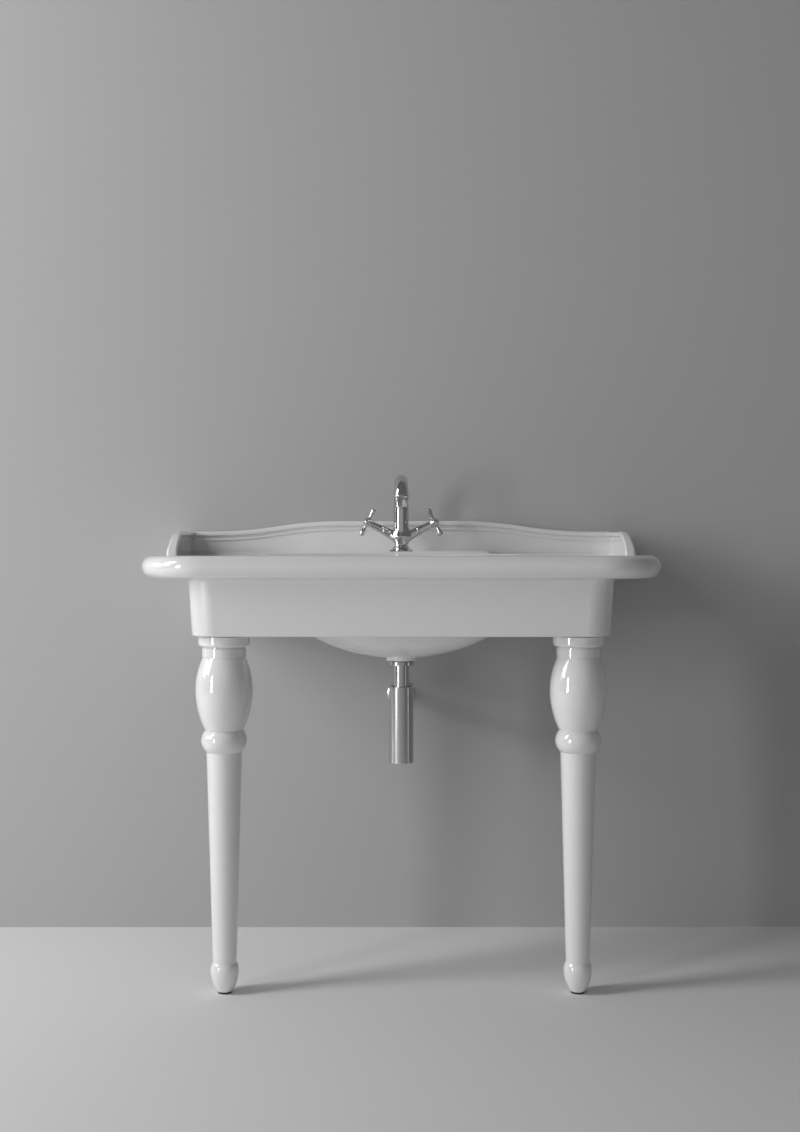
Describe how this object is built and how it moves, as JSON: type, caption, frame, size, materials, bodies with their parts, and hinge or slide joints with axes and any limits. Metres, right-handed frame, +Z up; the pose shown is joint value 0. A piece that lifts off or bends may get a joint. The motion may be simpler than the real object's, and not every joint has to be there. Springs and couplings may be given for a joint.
{
  "type": "console sink",
  "caption": "Console washbasin with an oval bowl, rolled rim and swan-neck upstand on turned ceramic legs, with a cross-handle mixer, click waste and bottle trap.",
  "frame": {"origin": "on the floor, under the middle of the whole assembly's box: the basin's front edge is 290 mm in front and the free end of the waste pipe 290 mm behind", "axes": "+X to the user's right, +Y from the user to the wall, +Z up"},
  "size_m": [1.02, 0.58, 1.024],
  "materials": {
    "basin_glaze": "gloss white glaze over vitreous china",
    "black_rubber": "matt moulded rubber",
    "grey_nylon": "moulded nylon",
    "leg_glaze": "gloss white glaze over vitreous china",
    "satin_trap": "fine satin, brushed along the pipes",
    "tap_chrome": "mirror-bright chromium plate on brass",
    "valve_brass": "machined, unpolished",
    "zinc_steel": "zinc-plated, dull"
  },
  "bodies": {
    "console": {"aerator_insert": "grey_nylon", "aerator_ring": "tap_chrome", "basin": "basin_glaze", "click_cartridge": "grey_nylon", "left_bonnet": "tap_chrome", "left_foot_pad": "black_rubber", "left_leg": "leg_glaze", "left_leg_bush": "zinc_steel", "left_leg_gasket": "black_rubber", "left_leg_nut": "zinc_steel", "left_leg_stud": "zinc_steel", "left_leg_washer": "zinc_steel", "left_valve": "valve_brass", "outlet_pipe": "satin_trap", "right_bonnet": "tap_chrome", "right_foot_pad": "black_rubber", "right_leg": "leg_glaze", "right_leg_bush": "zinc_steel", "right_leg_gasket": "black_rubber", "right_leg_nut": "zinc_steel", "right_leg_stud": "zinc_steel", "right_leg_washer": "zinc_steel", "right_valve": "valve_brass", "tail_pipe": "satin_trap", "tap_body": "tap_chrome", "tap_clamp_plate": "zinc_steel", "tap_clamp_rubber": "black_rubber", "tap_gasket": "black_rubber", "tap_nut": "zinc_steel", "tap_stud": "zinc_steel", "trap_body": "satin_trap", "trap_bottom_cap": "satin_trap", "trap_bottom_seal": "black_rubber", "trap_head": "satin_trap", "trap_inlet_seal": "black_rubber", "trap_outlet_nut": "satin_trap", "trap_outlet_seal": "black_rubber", "wall_rosette": "satin_trap", "waste_body": "tap_chrome", "waste_coupling_nut": "satin_trap", "waste_flange_seal": "black_rubber", "waste_lower_seal": "black_rubber"},
    "left_handle_group": {"left_handle": "tap_chrome", "left_handle_screw": "zinc_steel", "left_handle_cap": "tap_chrome", "left_spindle": "valve_brass"},
    "right_handle_group": {"right_handle": "tap_chrome", "right_handle_screw": "zinc_steel", "right_handle_cap": "tap_chrome", "right_spindle": "valve_brass"},
    "plug_group": {"waste_plug": "tap_chrome", "plug_seal": "black_rubber"}
  },
  "joints": [
    {"name": "left_handle_turn", "type": "hinge", "parent": "console", "child": "left_handle_group", "pos_m": [-0.07351, 0.15, 0.92345], "axis": [-0.891, 0, 0.454], "range_deg": [0, 90]},
    {"name": "right_handle_turn", "type": "hinge", "parent": "console", "child": "right_handle_group", "pos_m": [0.07351, 0.15, 0.92345], "axis": [0.891, 0, 0.454], "range_deg": [-90, 0]},
    {"name": "plug_press", "type": "slide", "parent": "console", "child": "plug_group", "axis": [0, 0, -1], "range_m": [0, 0.008]}
  ]
}
